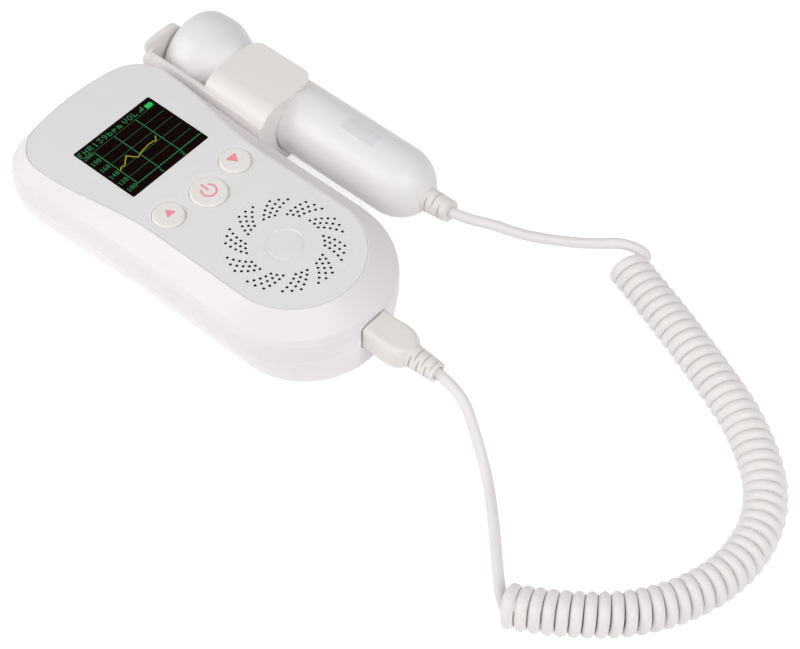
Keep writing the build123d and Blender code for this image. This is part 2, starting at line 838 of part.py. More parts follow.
# ---------------------------------------------------------------- probe
def probe_handle():
    outer = handle_radius
    inner = outer - probe_wall
    hole = relief_stub / 2 + probe_fit
    flat = relief_diameter / 2 + 0.5
    inside_end = tail_end + probe_wall
    edges = [
        Line((outer, head_joint), (outer, tail_start)),
        TangentArc((outer, tail_start), (flat, tail_end), tangent=(0, -1)),
        Line((flat, tail_end), (hole, tail_end)),
        Line((hole, tail_end), (hole, inside_end)),
        TangentArc((inner, tail_start), (hole, inside_end), tangent=(0, -1)),
        Line((inner, tail_start), (inner, head_joint)),
        Line((inner, head_joint), (outer, head_joint)),
    ]
    handle = revolve(make_face(edges), axis=Axis.Y)
    edge = probe_board_width / 2
    near, far = probe_board_y - probe_board_length / 2, probe_board_y + probe_board_length / 2
    for side in (-1, 1):
        x = sorted((side * (edge - 1.5), side * (inner + probe_wall / 2)))
        handle += block(x, (near, far), (-board_rail / 2, board_rail / 2))
    half = probe_board_thickness / 2 + probe_fit
    handle -= block((-edge - probe_fit, edge + probe_fit), (near - 1, far + 1), (-half, half))
    return at_probe(handle)


def probe_head():
    outer = handle_radius
    bulge = head_diameter / 2
    inner_bulge = bulge - probe_wall
    face = face_diameter / 2
    lens = lens_diameter / 2 + probe_fit
    bore = crystal_diameter / 2 + probe_fit
    spigot = outer - probe_wall - probe_fit
    neck = spigot - spigot_wall
    lens_seat = head_front - lens_thickness
    inside = lens_seat - lens_thickness
    spigot_end = head_joint - spigot_length
    edges = [
        Line((outer, head_joint), (outer, head_neck)),
        Spline((outer, head_neck), (bulge, head_bulge), tangents=[(0, 1), (0, 1)]),
        Spline((bulge, head_bulge), (face, head_front), tangents=[(0, 1), (-1, 0)]),
        Polyline((face, head_front), (lens, head_front), (lens, lens_seat), (bore, lens_seat), (bore, inside)),
        Line((bore, inside), (face, inside)),
        Spline((face, inside), (inner_bulge, head_bulge), tangents=[(1, 0), (0, -1)]),
        Spline((inner_bulge, head_bulge), (neck, head_neck), tangents=[(0, -1), (0, -1)]),
        Polyline((neck, head_neck), (neck, spigot_end), (spigot, spigot_end), (spigot, head_joint)),
        Line((spigot, head_joint), (outer, head_joint)),
    ]
    return at_probe(revolve(make_face(edges), axis=Axis.Y))


def transducer_lens():
    return probe_disc(lens_diameter, head_front - lens_thickness, head_front)


def piezo_crystals():
    """Two half discs, one sends and one listens."""
    disc = probe_disc(crystal_diameter, crystal_back, crystal_back + crystal_thickness)
    half = crystal_gap / 2
    y = (crystal_back, head_front)
    return disc - block((probe_x - half, probe_x + half), y, (0, 2 * probe_z))


crystal_back = head_front - lens_thickness - crystal_thickness


def backing_block():
    return probe_disc(crystal_diameter, crystal_back - backing_length, crystal_back)


def probe_board():
    x = (probe_x - probe_board_width / 2, probe_x + probe_board_width / 2)
    y = (probe_board_y - probe_board_length / 2, probe_board_y + probe_board_length / 2)
    z = (probe_z - probe_board_thickness / 2, probe_z + probe_board_thickness / 2)
    return block(x, y, z)


def probe_strain_relief():
    """Sleeve that the cord bends up a little, cut flat against the handle, with a stub into the handle."""
    start, end = tail_end + relief_slot, tail_end - relief_length
    sleeve = ribbed_sleeve(start, end, relief_diameter, relief_end_diameter, 0, relief_rings)
    sleeve = Pos(0, tail_end, 0) * Rot(X=-relief_tilt) * Pos(0, -tail_end, 0) * sleeve
    sleeve -= along_y(Circle(relief_diameter), tail_end, start + relief_slot)
    stub = along_y(Circle(relief_stub / 2), tail_end, tail_end + 1.5 * probe_wall)
    return at_probe(sleeve + stub)


# ---------------------------------------------------------------- cord
floor_z = cord_diameter / 2
coil_z = coil_diameter / 2
plug_lead_start = plug_back - plug_travel - 0.5
plug_lead_route = [
    (0, plug_lead_start, plug_z),
    (0, -105.5, plug_z),
    (-5.2, -116.7, 7.7),
    (-11.3, -126.2, floor_z),
    (-18.4, -133.6, floor_z),
    (-27.5, -142.4, floor_z),
    (-36.5, -150.6, floor_z),
    (-43.5, -161.6, floor_z),
]
coil_route = [
    (-45.1, -160.6, coil_z),
    (-37.5, -174.7, coil_z),
    (-18.7, -195.0, coil_z),
    (8.4, -205.3, coil_z),
    (34.8, -200.0, coil_z),
    (53.5, -178.8, coil_z),
    (64.6, -155.4, coil_z),
    (75.4, -131.5, coil_z),
    (82.6, -112.5, coil_z),
]
probe_lead_route = [
    (probe_x, relief_end, relief_end_z),
    (probe_x, relief_end - 7.0 * math.cos(tilt), relief_end_z + 7.0 * math.sin(tilt)),
    (57.2, -71.4, 18.4),
    (62.2, -79.8, 16.4),
    (69.3, -89.4, 13.9),
    (77.2, -98.4, 12.1),
    (84.0, -106.0, 11.0),
    (87.6, -111.0, 10.9),
    (87.9, -115.2, 9.4),
    (86.6, -117.6, 6.4),
]


def tube(name, route, diameter):
    """Round tube along straight runs joined by tangent arcs."""
    points = [Vector(*point) for point in route]
    runs = [b - a for a, b in zip(points, points[1:])]
    radii = []
    for a, b in zip(runs, runs[1:]):
        half_turn = math.radians(a.get_angle(b)) / 2
        radii.append(0.45 * min(a.length, b.length) / math.tan(half_turn))
    path = FilletPolyline(*points, radius=radii)
    solid = sweep(Plane(origin=path @ 0, z_dir=path % 0) * Circle(diameter / 2), path=path)
    share = solid.volume / (math.pi * diameter**2 / 4 * path.length)
    print(name, "length", round(path.length, 1), "volume share", round(share, 4))
    print("  radii", [round(radius, 1) for radius in radii])
    return solid


# ---------------------------------------------------------------- export
def main():
    shapes = {name: button(place, diameter) for name, (place, diameter) in buttons.items()}
    for make in (
        upper_housing,
        lower_housing,
        face_plate,
        screen_lens,
        lcd_module,
        main_board,
        board_chips,
        tactile_switches,
        board_screws,
        housing_screws,
        speaker_frame,
        speaker_cone,
        speaker_magnet,
        speaker_gasket,
        probe_socket_shell,
        probe_socket_tongue,
        batteries,
        battery_contacts,
        battery_springs,
        battery_cover,
        probe_holder,
        holder_screws,
        probe_handle,
        probe_head,
        transducer_lens,
        piezo_crystals,
        backing_block,
        probe_board,
        probe_strain_relief,
        plug_overmould,
        plug_shell,
        plug_strain_relief,
    ):
        shapes[make.__name__] = make()
    shapes["plug_lead"] = tube("plug_lead", plug_lead_route, cord_diameter)
    shapes["curly_cord"] = tube("curly_cord", coil_route, coil_diameter)
    shapes["probe_lead"] = tube("probe_lead", probe_lead_route, cord_diameter)
    os.makedirs("parts", exist_ok=True)
    for name, shape in shapes.items():
        export_step(shape, f"parts/{name}.step")


main()
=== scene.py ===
import math

import bmesh
import bpy
from mathutils import Matrix, Vector


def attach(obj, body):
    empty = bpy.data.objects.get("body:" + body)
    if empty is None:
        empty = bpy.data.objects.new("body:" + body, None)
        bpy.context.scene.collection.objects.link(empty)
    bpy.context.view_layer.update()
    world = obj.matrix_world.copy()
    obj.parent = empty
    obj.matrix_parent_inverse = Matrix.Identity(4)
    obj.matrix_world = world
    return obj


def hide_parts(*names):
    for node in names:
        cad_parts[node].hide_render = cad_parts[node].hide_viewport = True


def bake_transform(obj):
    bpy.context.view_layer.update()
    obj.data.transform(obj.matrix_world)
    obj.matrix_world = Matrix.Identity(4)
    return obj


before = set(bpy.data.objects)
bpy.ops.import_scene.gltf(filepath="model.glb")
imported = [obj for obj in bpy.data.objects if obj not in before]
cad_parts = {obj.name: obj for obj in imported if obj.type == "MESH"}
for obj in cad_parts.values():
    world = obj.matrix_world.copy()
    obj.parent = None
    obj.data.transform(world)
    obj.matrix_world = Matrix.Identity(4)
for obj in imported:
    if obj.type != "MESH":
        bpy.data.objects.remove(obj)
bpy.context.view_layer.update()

mm = 0.001

# ---------------------------------------------------------------- sizes in millimetres
# These follow the CAD.
face_z = 30.0
screen_left, screen_top = -17.5, 45.5
grille_y = -32.8
cap_top = 30.75
cap_places = {
    "power_button_body": (0.0, 0.7),
    "volume_up_button_body": (-15.6, 3.65),
    "volume_down_button_body": (15.6, 3.65),
}
probe_x, probe_z, handle_radius = 53.6, 16.8, 12.45
cord_diameter = 3.7
coil_diameter = 14.0


# Control points of the cords' lines, and how the coil's turns meet them.
plug_lead_route = [
    (0, -92.1, 18), (0, -105.5, 18), (-5.2, -116.7, 7.7), (-11.3, -126.2, 1.85),
    (-18.4, -133.6, 1.85), (-27.5, -142.4, 1.85), (-36.5, -150.6, 1.85), (-42.3, -156.4, 1.85),
]
coil_route = [
    (-45.1, -160.6, 7), (-37.5, -174.7, 7), (-18.7, -195.0, 7), (8.4, -205.3, 7), (34.8, -200.0, 7),
    (53.5, -178.8, 7), (64.2, -155.0, 7), (74.3, -130.3, 7), (81.1, -110.8, 7),
]
probe_lead_route = [
    (53.6, -57.45, 17.85), (53.8, -64.4, 19.2), (57.6, -71.4, 18.9), (62.2, -79.8, 16.1),
    (69.3, -89.4, 13.9), (77.2, -98.4, 12.1), (83.6, -107.6, 14.4), (87.2, -115.3, 10.7),
]
coil_pitch = 3.8
coil_end_phase = 215
lead_rise, plug_lead_before, plug_lead_overlap = 3.8, 3.0, 0.3


# ---------------------------------------------------------------- materials
def linear(red, green, blue):
    """Screen colour, 0 to 255, as the shader's linear colour."""
    out = [((c / 255 + 0.055) / 1.055) ** 2.4 if c > 10 else c / 255 / 12.92 for c in (red, green, blue)]
    return (*out, 1.0)


def finish(name, colour, other=None, roughness=0.4, patch=0.02, grain=0.0004, bump=0.08, depth=0.00002,
           **sockets):
    """Moulded or metal surface: two near colours in soft patches, and a fine grain in gloss and relief. Patch,
    grain and depth are in metres. Without a second colour it is a little darker than the first."""
    material = bpy.data.materials.new(name)
    material.use_nodes = True
    tree = material.node_tree
    nodes, links = tree.nodes, tree.links
    shader = nodes["Principled BSDF"]
    place = nodes.new("ShaderNodeTexCoord")
    patches = nodes.new("ShaderNodeTexNoise")
    patches.inputs["Scale"].default_value = 1 / patch
    patches.inputs["Detail"].default_value = 3
    links.new(place.outputs["Object"], patches.inputs["Vector"])
    mix = nodes.new("ShaderNodeMix")
    mix.data_type = "RGBA"
    mix.inputs["A"].default_value = linear(*colour)
    mix.inputs["B"].default_value = linear(*(other or [c * 0.985 for c in colour]))
    links.new(patches.outputs["Fac"], mix.inputs["Factor"])
    links.new(mix.outputs["Result"], shader.inputs["Base Color"])
    fine = nodes.new("ShaderNodeTexNoise")
    fine.inputs["Scale"].default_value = 1 / grain
    fine.inputs["Detail"].default_value = 2
    links.new(place.outputs["Object"], fine.inputs["Vector"])
    gloss = nodes.new("ShaderNodeMapRange")
    gloss.inputs["To Min"].default_value = max(0.02, roughness - 0.05)
    gloss.inputs["To Max"].default_value = min(1.0, roughness + 0.05)
    links.new(fine.outputs["Fac"], gloss.inputs["Value"])
    links.new(gloss.outputs["Result"], shader.inputs["Roughness"])
    relief = nodes.new("ShaderNodeBump")
    relief.inputs["Strength"].default_value = bump
    relief.inputs["Distance"].default_value = depth
    links.new(fine.outputs["Fac"], relief.inputs["Height"])
    links.new(relief.outputs["Normal"], shader.inputs["Normal"])
    for socket, value in sockets.items():
        shader.inputs[socket.replace("_", " ")].default_value = value
    return material


casing = finish("casing_white", (247, 242, 245), roughness=0.38, grain=0.00035, bump=0.10)
panel = finish("panel_white", (245, 243, 243), roughness=0.5, grain=0.00025, bump=0.12)
button_white = finish("button_white", (250, 246, 243), roughness=0.42, grain=0.0003, bump=0.08)
holder_white = finish("holder_white", (248, 244, 242), roughness=0.38, grain=0.00035, bump=0.10)
probe_white = finish("probe_white", (248, 245, 245), roughness=0.34, grain=0.0005, bump=0.06)
lens_white = finish("lens_white", (232, 231, 229), roughness=0.3, grain=0.0004, bump=0.05)
plug_ivory = finish("plug_ivory", (243, 239, 235), roughness=0.45, grain=0.0004, bump=0.10)
cord_white = finish("cord_white", (246, 242, 241), roughness=0.4, grain=0.0006, bump=0.10)
screen_black = finish("screen_black", (22, 3, 1), (10, 2, 1), roughness=0.22, patch=0.004, bump=0.02,
                      Specular_IOR_Level=0.02)
lcd_black = finish("lcd_black", (10, 12, 14), roughness=0.3, patch=0.004)
board_green = finish("board_green", (24, 84, 52), (16, 66, 42), roughness=0.45, patch=0.003)
chip_black = finish("chip_black", (28, 28, 30), roughness=0.55, patch=0.003)
switch_metal = finish("switch_metal", (190, 190, 186), roughness=0.32, patch=0.002, Metallic=1.0)
screw_steel = finish("screw_steel", (172, 172, 170), (150, 150, 150),
                     roughness=0.3, patch=0.001, Metallic=1.0)
speaker_steel = finish("speaker_steel", (120, 120, 122), (98, 98, 102),
                       roughness=0.4, patch=0.004, Metallic=1.0)
cone_paper = finish("cone_paper", (26, 22, 22), (18, 15, 16),
                    roughness=0.85, patch=0.002, bump=0.5, depth=0.0001)
seal_rubber = finish("seal_rubber", (30, 30, 31), roughness=0.8, patch=0.003, bump=0.2)
connector_metal = finish("connector_metal", (196, 192, 182), (176, 172, 164),
                         roughness=0.28, patch=0.002, Metallic=1.0)
cell_wrap = finish("cell_wrap", (60, 62, 70), (52, 54, 60), roughness=0.35, patch=0.006)
crystal = finish("crystal", (190, 180, 150), (176, 166, 140), roughness=0.5, patch=0.002)
backing = finish("backing", (70, 66, 62), (56, 52, 50), roughness=0.7, patch=0.002)
icon_pink = finish("icon_pink", (255, 164, 172), (250, 154, 164), roughness=0.5, patch=0.001)
label_silver = finish("label_silver", (234, 234, 237), (231, 231, 234),
                      roughness=0.42, patch=0.03, grain=0.0002, Metallic=0.1)


def lit(name, colour, level):
    """Lit element of the display, with the fine dark lines between its pixels."""
    material = finish(name, [c * 0.5 for c in colour], roughness=0.3, patch=0.002, Specular_IOR_Level=0.1)
    nodes, links = material.node_tree.nodes, material.node_tree.links
    shader = nodes["Principled BSDF"]
    place = nodes.new("ShaderNodeTexCoord")
    rows = nodes.new("ShaderNodeTexWave")
    rows.bands_direction = "Y"
    rows.inputs["Scale"].default_value = 1 / 0.0009
    rows.inputs["Distortion"].default_value = 0.0
    links.new(place.outputs["Object"], rows.inputs["Vector"])
    shade = nodes.new("ShaderNodeMix")
    shade.data_type = "RGBA"
    shade.inputs["A"].default_value = linear(*[c * 0.8 for c in colour])
    shade.inputs["B"].default_value = linear(*colour)
    links.new(rows.outputs["Fac"], shade.inputs["Factor"])
    links.new(shade.outputs["Result"], shader.inputs["Emission Color"])
    shader.inputs["Emission Strength"].default_value = level
    return material


lit_green = lit("lit_green", (50, 158, 96), 0.55)
lit_dim = lit("lit_dim", (46, 112, 76), 0.4)
lit_bright = lit("lit_bright", (40, 210, 96), 0.75)
lit_yellow = lit("lit_yellow", (196, 190, 60), 0.6)


def paint_hole_shade(material, colour, near=11.9, far=19.7, low=29.93):
    """Painted shade for the insides of the speaker's holes: what lies in their ring, from near to far, below
    height low, takes the dark shade colour.
    """
    nodes, links = material.node_tree.nodes, material.node_tree.links
    shader = nodes["Principled BSDF"]
    plain = shader.inputs["Base Color"].links[0].from_socket
    place = nodes.new("ShaderNodeTexCoord")
    split = nodes.new("ShaderNodeSeparateXYZ")
    links.new(place.outputs["Object"], split.inputs["Vector"])
    flat = nodes.new("ShaderNodeCombineXYZ")
    links.new(split.outputs["X"], flat.inputs["X"])
    links.new(split.outputs["Y"], flat.inputs["Y"])
    reach = nodes.new("ShaderNodeVectorMath")
    reach.operation = "DISTANCE"
    reach.inputs[1].default_value = (0.0, grille_y * mm, 0.0)
    links.new(flat.outputs["Vector"], reach.inputs[0])
    inside = None
    for source, operation, limit in (
        (reach.outputs["Value"], "GREATER_THAN", near),
        (reach.outputs["Value"], "LESS_THAN", far),
        (split.outputs["Z"], "LESS_THAN", low),
    ):
        test = nodes.new("ShaderNodeMath")
        test.operation = operation
        test.inputs[1].default_value = limit * mm
        links.new(source, test.inputs[0])
        if inside:
            both = nodes.new("ShaderNodeMath")
            both.operation = "MULTIPLY"
            links.new(inside, both.inputs[0])
            links.new(test.outputs["Value"], both.inputs[1])
            test = both
        inside = test.outputs["Value"]
    # painted shade: inside the ring the plain colour gives way to the dark shade colour
    mix = nodes.new("ShaderNodeMix")
    mix.data_type = "RGBA"
    mix.inputs["B"].default_value = linear(*colour)
    links.new(inside, mix.inputs["Factor"])
    links.new(plain, mix.inputs["A"])
    links.new(mix.outputs["Result"], shader.inputs["Base Color"])


# painted shade: the plate's hole walls in the grille ring are coloured dark brown
paint_hole_shade(panel, (70, 54, 52))

node_finish = {
    "upper_housing": casing, "lower_housing": casing, "battery_cover": casing, "probe_holder": holder_white,
    "face_plate": panel, "screen_lens": screen_black, "lcd_module": lcd_black,
    "main_board": board_green, "board_chips": chip_black, "tactile_switches": switch_metal,
    "board_screws": screw_steel, "housing_screws": screw_steel, "holder_screws": screw_steel,
    "speaker_frame": speaker_steel, "speaker_cone": cone_paper, "speaker_magnet": speaker_steel,
    "speaker_gasket": seal_rubber, "probe_socket_shell": connector_metal, "probe_socket_tongue": chip_black,
    "batteries": cell_wrap, "battery_contacts": connector_metal, "battery_springs": connector_metal,
    "probe_handle": probe_white, "probe_head": probe_white, "transducer_lens": lens_white,
    "piezo_crystals": crystal, "backing_block": backing, "probe_board": board_green,
    "probe_strain_relief": plug_ivory, "plug_overmould": plug_ivory, "plug_shell": connector_metal,
    "plug_strain_relief": plug_ivory, "power_button": button_white, "volume_up_button": button_white,
    "volume_down_button": button_white,
}
for name, material in node_finish.items():
    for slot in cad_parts[name].material_slots:
        slot.material = material


# ---------------------------------------------------------------- thin printed shapes
def put_in_scene(name, data):
    """New object in the scene."""
    thing = bpy.data.objects.new(name, data)
    bpy.context.scene.collection.objects.link(thing)
    return thing


def add_piece(name, verts, faces, material, body, smooth=False):
    """Mesh piece from points in millimetres, riding on a body."""
    mesh = bpy.data.meshes.new(name)
    mesh.from_pydata([Vector(v) * mm for v in verts], [], faces)
    mesh.validate()
    mesh.materials.append(material)
    piece = put_in_scene(name, mesh)
    if smooth:
        mesh.shade_smooth()
    if body:
        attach(piece, body)
    return piece


def printed(name, shapes, low, material, body, thickness=0.02):
    """Thin print: each flat outline becomes a closed prism standing on height low."""
    verts, faces = [], []
    for shape in shapes:
        start, count = len(verts), len(shape)
        verts += [(x, y, low) for x, y in shape] + [(x, y, low + thickness) for x, y in shape]
        faces.append([start + k for k in reversed(range(count))])
        faces.append([start + count + k for k in range(count)])
        for k in range(count):
            after = (k + 1) % count
            faces.append([start + k, start + after, start + count + after, start + count + k])
    return add_piece(name, verts, faces, material, body)


def bar(u0, v0, u1, v1):
    """Rectangle on the display, from its left and top edges in millimetres, anticlockwise from above."""
    x0, x1 = screen_left + u0, screen_left + u1
    y0, y1 = screen_top - v1, screen_top - v0
    return [(x0, y0), (x1, y0), (x1, y1), (x0, y1)]


def strip(points, width):
    """Line of some width as one quad per run, each run reaching a little into the next."""
    quads = []
    for (x0, y0), (x1, y1) in zip(points, points[1:]):
        length = math.hypot(x1 - x0, y1 - y0)
        dx, dy = (x1 - x0) / length, (y1 - y0) / length
        half, over = width / 2, width / 4
        x0, y0, x1, y1 = x0 - dx * over, y0 - dy * over, x1 + dx * over, y1 + dy * over
        side = (-dy * half, dx * half)
        quads.append([(x0 - side[0], y0 - side[1]), (x1 - side[0], y1 - side[1]),
                      (x1 + side[0], y1 + side[1]), (x0 + side[0], y0 + side[1])])
    return quads


def ring_part(x, y, radius, width, first, last, step=12):
    """Part of a flat ring, clockwise from the top in degrees, as quads side by side."""
    quads = []
    for a in range(first, last, step):
        (s0, c0), (s1, c1) = [(math.sin(math.radians(b)), math.cos(math.radians(b))) for b in (a, a + step)]
        near, far = radius - width / 2, radius + width / 2
        quads.append([(x + near * s0, y + near * c0), (x + near * s1, y + near * c1),
                      (x + far * s1, y + far * c1), (x + far * s0, y + far * c0)])
    return quads


dot_rows = {
    "0": "01110 10001 10011 10101 11001 10001 01110",
    "1": "00100 01100 00100 00100 00100 00100 01110",
    "2": "01110 10001 00001 00110 01000 10000 11111",
    "3": "11111 00010 00100 00010 00001 10001 01110",
    "4": "00010 00110 01010 10010 11111 00010 00010",
    "6": "00110 01000 10000 11110 10001 10001 01110",
    "8": "01110 10001 10001 01110 10001 10001 01110",
    "9": "01110 10001 10001 01111 00001 00010 01100",
    "F": "11111 10000 10000 11110 10000 10000 10000",
    "H": "10001 10001 10001 11111 10001 10001 10001",
    "R": "11110 10001 10001 11110 10100 10010 10001",
    "V": "10001 10001 10001 10001 10001 01010 00100",
    "O": "01110 10001 10001 10001 10001 10001 01110",
    "L": "10000 10000 10000 10000 10000 10000 11111",
    "b": "10000 10000 10110 11001 10001 10001 11110",
    "p": "00000 00000 11110 10001 11110 10000 10000",
    "m": "00000 00000 11010 10101 10101 10101 10101",
}


def dots(text, u, v, width, height, pitch):
    """Dot matrix figures: one block for each run of lit dots in a row."""
    blocks = []
    for place, figure in enumerate(text):
        left = u + place * pitch
        for row, line in enumerate(dot_rows[figure].split()):
            top = v + row * height / 7
            column = 0
            while column < 5:
                if line[column] == "0":
                    column += 1
                    continue
                end = column
                while end < 5 and line[end] == "1":
                    end += 1
                low = top + height / 7.6
                blocks.append(bar(left + column * width / 5, top, left + end * width / 5, low))
                column = end
    return blocks


def display():
    """Heart rate chart with its scale, reading, level bars and battery, from the display's left and top edges.
    The layers lie a micron apart, so that none hides another where they cross."""
    grid = [bar(u - 0.13, 4.1, u + 0.13, 24.9) for u in (5.2, 14.7, 24.7)]
    grid += [bar(4.6, 24.6, 34.8, 24.9)]
    grid += [bar(u - 0.15, 24.9, u + 0.15, 25.5) for u in (14.7, 24.7)]
    printed("chart_grid", grid, face_z, lit_green, "unit")
    rows = [bar(5.2, v - 0.1, 34.2, v + 0.1) for v in (4.2, 8.25, 12.35, 16.5, 20.7)]
    printed("chart_rows", rows, face_z - 0.001, lit_dim, "unit")
    figures = dots("FHR139bpm", 0.55, 1.1, 1.5, 2.2, 2.2) + dots("VOL", 21.05, 1.1, 1.5, 2.2, 2.17)
    figures += [bar(28.0 + k * 0.55, 3.2 - 0.5 * (k + 1), 28.32 + k * 0.55, 3.2) for k in range(4)]
    scale = (("200", 3.5), ("180", 7.2), ("160", 11.4), ("140", 15.6), ("120", 19.7), ("100", 23.8))
    for text, v in scale:
        figures += dots(text, 0.7, v, 1.05, 1.75, 1.36)
    figures += dots("1", 13.8, 25.7, 1.1, 1.8, 1.0) + dots("2", 23.8, 25.7, 1.1, 1.8, 1.0)
    printed("chart_figures", figures, face_z + 0.001, lit_green, "unit")
    cell = [bar(30.95, 1.9, 33.6, 3.85), bar(33.6, 2.4, 33.85, 3.35)]
    printed("battery_icon", cell, face_z, lit_bright, "unit")
    trace = [(5.3, 16.6), (6.5, 15.8), (8.1, 16.0), (9.75, 14.4), (10.6, 14.0), (11.1, 13.3), (11.7, 14.2),
             (12.25, 15.3), (12.9, 16.0), (13.4, 16.8), (14.2, 16.5), (15.0, 16.1), (16.5, 15.8), (18.0, 15.65),
             (19.4, 15.35), (20.75, 15.45), (21.6, 15.5), (22.4, 16.1), (23.1, 15.2), (23.8, 14.4)]
    line = strip([(screen_left + u, screen_top - v) for u, v in trace], 0.36)
    printed("rate_trace", line, face_z + 0.002, lit_yellow, "unit")


def icons():
    """Printed signs on the three caps: power, and triangles with round corners for more and less."""
    x, y = cap_places["power_button_body"]
    x, y = x + 0.2, y + 0.1
    sign = ring_part(x, y, 2.55, 0.72, 36, 324) + strip([(x, y + 0.3), (x, y + 3.5)], 0.72)
    printed("power_sign", sign, cap_top, icon_pink, "power_button_body")
    for body, up, side, lift, size in (
        ("volume_up_button_body", 1, 0.5, 0.3, 0.98),
        ("volume_down_button_body", -1, 0.0, 0.5, 1.14),
    ):
        x, y = cap_places[body][0] + side, cap_places[body][1] + lift
        outline = []
        for cx, cy, start in ((1.45, -1.15, -90), (0.0, 1.25, 30), (-1.45, -1.15, 150)):
            for a in range(0, 121, 30):
                angle = math.radians(start + a)
                corner = (cx + 0.3 * math.cos(angle), cy + 0.3 * math.sin(angle))
                outline.append((x + size * corner[0], y + up * size * corner[1]))
        shape = outline if up > 0 else outline[::-1]
        printed(body.replace("_button_body", "_sign"), [shape], cap_top, icon_pink, body)


def label_plate():
    """Bare foil plate on the probe's handle, bent to its round."""
    radius, thickness = handle_radius + 0.02, 0.12
    middle, half_angle, near, far, corner = math.radians(-0.9), math.radians(13.1), -25.4, -11.2, 0.9
    half_width = radius * half_angle
    edge = []
    for cu, cv, start in ((1, 1, 0), (-1, 1, 90), (-1, -1, 180), (1, -1, 270)):
        for a in range(0, 91, 15):
            angle = math.radians(start + a)
            u = cu * (half_width - corner) + corner * math.cos(angle)
            v = cv * ((far - near) / 2 - corner) + corner * math.sin(angle)
            edge.append((u, v + (near + far) / 2))
    mesh = bmesh.new()
    rim = [mesh.verts.new((u, v, 0)) for u, v in edge]
    mesh.faces.new(rim)
    for k in range(1, 8):
        cut = -half_width + k * half_width / 4
        geometry = mesh.verts[:] + mesh.edges[:] + mesh.faces[:]
        bmesh.ops.bisect_plane(mesh, geom=geometry, plane_co=(cut, 0, 0), plane_no=(1, 0, 0))
    mesh.verts.ensure_lookup_table()
    flat = [tuple(v.co) for v in mesh.verts]
    tops = [[v.index for v in face.verts] for face in mesh.faces]
    border = [[v.index for v in e.verts] for e in mesh.edges if e.is_boundary]
    mesh.free()
    count = len(flat)
    verts = []
    for level in (0.0, thickness):
        for u, v, _ in flat:
            angle = middle + u / radius
            reach = radius + level
            verts.append((probe_x + reach * math.sin(angle), v, probe_z + reach * math.cos(angle)))
    faces = [face[::-1] for face in tops] + [[k + count for k in face] for face in tops]
    faces += [[a, b, b + count, a + count] for a, b in border]
    piece = add_piece("label_plate", verts, faces, label_silver, "probe")
    check = bmesh.new()
    check.from_mesh(piece.data)
    bmesh.ops.recalc_face_normals(check, faces=check.faces[:])
    check.to_mesh(piece.data)
    check.free()


# ---------------------------------------------------------------- cords
def spline_points(name, route, resolution=12):
    """Points of the smooth line that a route of control points gives, in millimetres."""
    curve = bpy.data.curves.new(name, "CURVE")
    curve.dimensions = "3D"
    curve.resolution_u = resolution
    spline = curve.splines.new("NURBS")
    spline.points.add(len(route) - 1)
    for point, place in zip(spline.points, route):
        point.co = (*(c * mm for c in place), 1.0)
    spline.order_u = 3
    spline.use_endpoint_u = True
    holder = put_in_scene(name, curve)
    bpy.context.view_layer.update()
    graph = bpy.context.evaluated_depsgraph_get()
    line = bpy.data.meshes.new_from_object(holder.evaluated_get(graph))
    points = [v.co / mm for v in line.vertices]
    bpy.data.objects.remove(holder)
    bpy.data.curves.remove(curve)
    bpy.data.meshes.remove(line)
    return points


def helix(line, radius, pitch, phase_at_ends, per_turn=20, lean=1.3, lean_reach=38.0):
    """Left-handed turns round a line, whole ones, that start and end at one phase in degrees; phase 0 is the top.
    The first turns lean over, less and less up to lean_reach."""
    lengths = [0.0]
    for a, b in zip(line, line[1:]):
        lengths.append(lengths[-1] + (b - a).length)
    whole = round(lengths[-1] / pitch)
    turn, count = 2 * math.pi * whole, per_turn * whole
    up = Vector((0, 0, 1))
    points, k = [], 0
    for step in range(count + 1):
        reach = lengths[-1] * step / count
        while k < len(lengths) - 2 and lengths[k + 1] < reach:
            k += 1
        share = (reach - lengths[k]) / (lengths[k + 1] - lengths[k])
        before = (line[k + 1] - line[max(k - 1, 0)]).normalized()
        after = (line[min(k + 2, len(line) - 1)] - line[k]).normalized()
        along = before.lerp(after, share).normalized()
        side = along.cross(up).normalized()
        phase = math.radians(phase_at_ends) + turn * step / count
        centre = line[k].lerp(line[k + 1], share)
        slant = lean * max(0.0, 1 - reach / lean_reach) * math.cos(phase)
        points.append(centre - slant * along + radius * (math.cos(phase) * up - math.sin(phase) * side))
    return points


def tube(name, points, diameter, material, sides=16, least_step=0.05):
    """Closed round tube along points, with frames carried on from each point to the next. Gives the piece and the
    points it used, without those that lie closer than least_step."""
    clean = [points[0]]
    for point in points[1:]:
        if (point - clean[-1]).length > least_step:
            clean.append(point)
    verts, faces = [], []
    normal = None
    for k, point in enumerate(clean):
        along = (clean[min(k + 1, len(clean) - 1)] - clean[max(k - 1, 0)]).normalized()
        if normal is None:
            normal = along.cross(Vector((0.3, 0.2, 1.0))).normalized()
        normal = (normal - along * normal.dot(along)).normalized()
        other = along.cross(normal)
        for s in range(sides):
            angle = 2 * math.pi * s / sides
            verts.append(point + diameter / 2 * (math.cos(angle) * normal + math.sin(angle) * other))
    for k in range(len(clean) - 1):
        for s in range(sides):
            a, b = k * sides + s, k * sides + (s + 1) % sides
            faces.append((a, b, b + sides, a + sides))
    faces.append(tuple(reversed(range(sides))))
    faces.append(tuple(range(len(verts) - sides, len(verts))))
    return add_piece(name, verts, faces, material, None, smooth=True), clean


